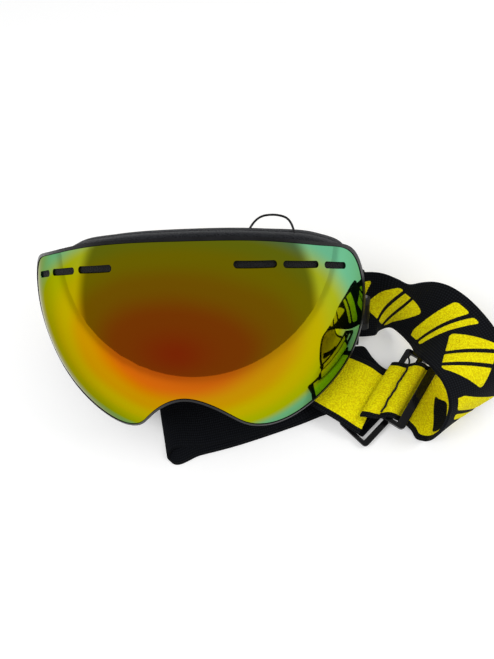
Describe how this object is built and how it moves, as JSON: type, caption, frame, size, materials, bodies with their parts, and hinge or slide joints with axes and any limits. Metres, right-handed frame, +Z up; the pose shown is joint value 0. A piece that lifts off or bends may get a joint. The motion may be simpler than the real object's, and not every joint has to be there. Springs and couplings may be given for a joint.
{
  "type": "sports goggles",
  "caption": "Frameless double-lens sports goggles with a mirrored lens, foam face seal, hinged strap outriggers and a folded elastic strap with sliders.",
  "frame": {"origin": "middle of the whole footprint, on the table", "axes": "+X to the viewer's right along the lens, +Y away from the viewer, +Z up"},
  "size_m": [0.2693, 0.1263, 0.1152],
  "materials": {
    "lens_mirror": "mirror coated, orange in the middle to green at the edges",
    "lens_inner": "clear tinted",
    "vent_foam": "open-cell foam",
    "rim": "satin black",
    "frame": "soft satin, dark grey",
    "face_foam": "open-cell foam",
    "fleece": "brushed fleece",
    "outrigger": "satin black",
    "pin": "blackened",
    "webbing_print": "black knit with raised yellow terry shapes",
    "webbing_yellow": "yellow terry",
    "webbing_black": "black satin knit",
    "slider": "polished black",
    "thread": "twisted black thread"
  },
  "bodies": {
    "goggles": {"outer_lens": "lens_mirror", "inner_lens": "lens_inner", "lens_spacer": "vent_foam", "slot_vent_foam_left": "vent_foam", "slot_vent_foam_right": "vent_foam", "lens_rim": "rim", "main_frame": "frame", "top_vent_mesh": "vent_foam", "cheek_vent_foam_left": "vent_foam", "cheek_vent_foam_right": "vent_foam", "face_foam_firm": "face_foam", "face_foam_soft": "face_foam", "face_fleece": "fleece", "outrigger_pin_left": "pin", "outrigger_pin_right": "pin", "strap_right_lead": "webbing_print", "strap_right_arc": "webbing_print", "strap_right_turn": "webbing_print", "slider_wrap": "webbing_yellow", "strap_front": "webbing_yellow", "strap_front_fold": "webbing_black", "strap_return": "webbing_black", "strap_lower": "webbing_black", "strap_lower_end": "webbing_black", "strap_left_fold": "webbing_black", "strap_upper": "webbing_black", "strap_under": "webbing_black", "strap_rise": "webbing_black", "strap_rear": "webbing_black", "strap_left_lead": "webbing_black", "slider_upper": "slider", "slider_lower": "slider", "seam_thread": "thread", "hang_loop": "thread"},
    "outrigger_arm_left": {"outrigger_left": "outrigger", "strap_end_loop_left": "webbing_black"},
    "outrigger_arm_right": {"outrigger_right": "outrigger", "strap_end_loop_right": "webbing_black"}
  },
  "joints": [
    {"name": "outrigger_left_swing", "type": "hinge", "parent": "goggles", "child": "outrigger_arm_left", "pos_m": [-0.1313, 0.01951, 0.03107], "axis": [0, 0.6293, 0.7771], "range_deg": [0, 12]},
    {"name": "outrigger_right_swing", "type": "hinge", "parent": "goggles", "child": "outrigger_arm_right", "pos_m": [0.0577, 0.01951, 0.03107], "axis": [0, -0.6293, -0.7771], "range_deg": [0, 12]}
  ]
}
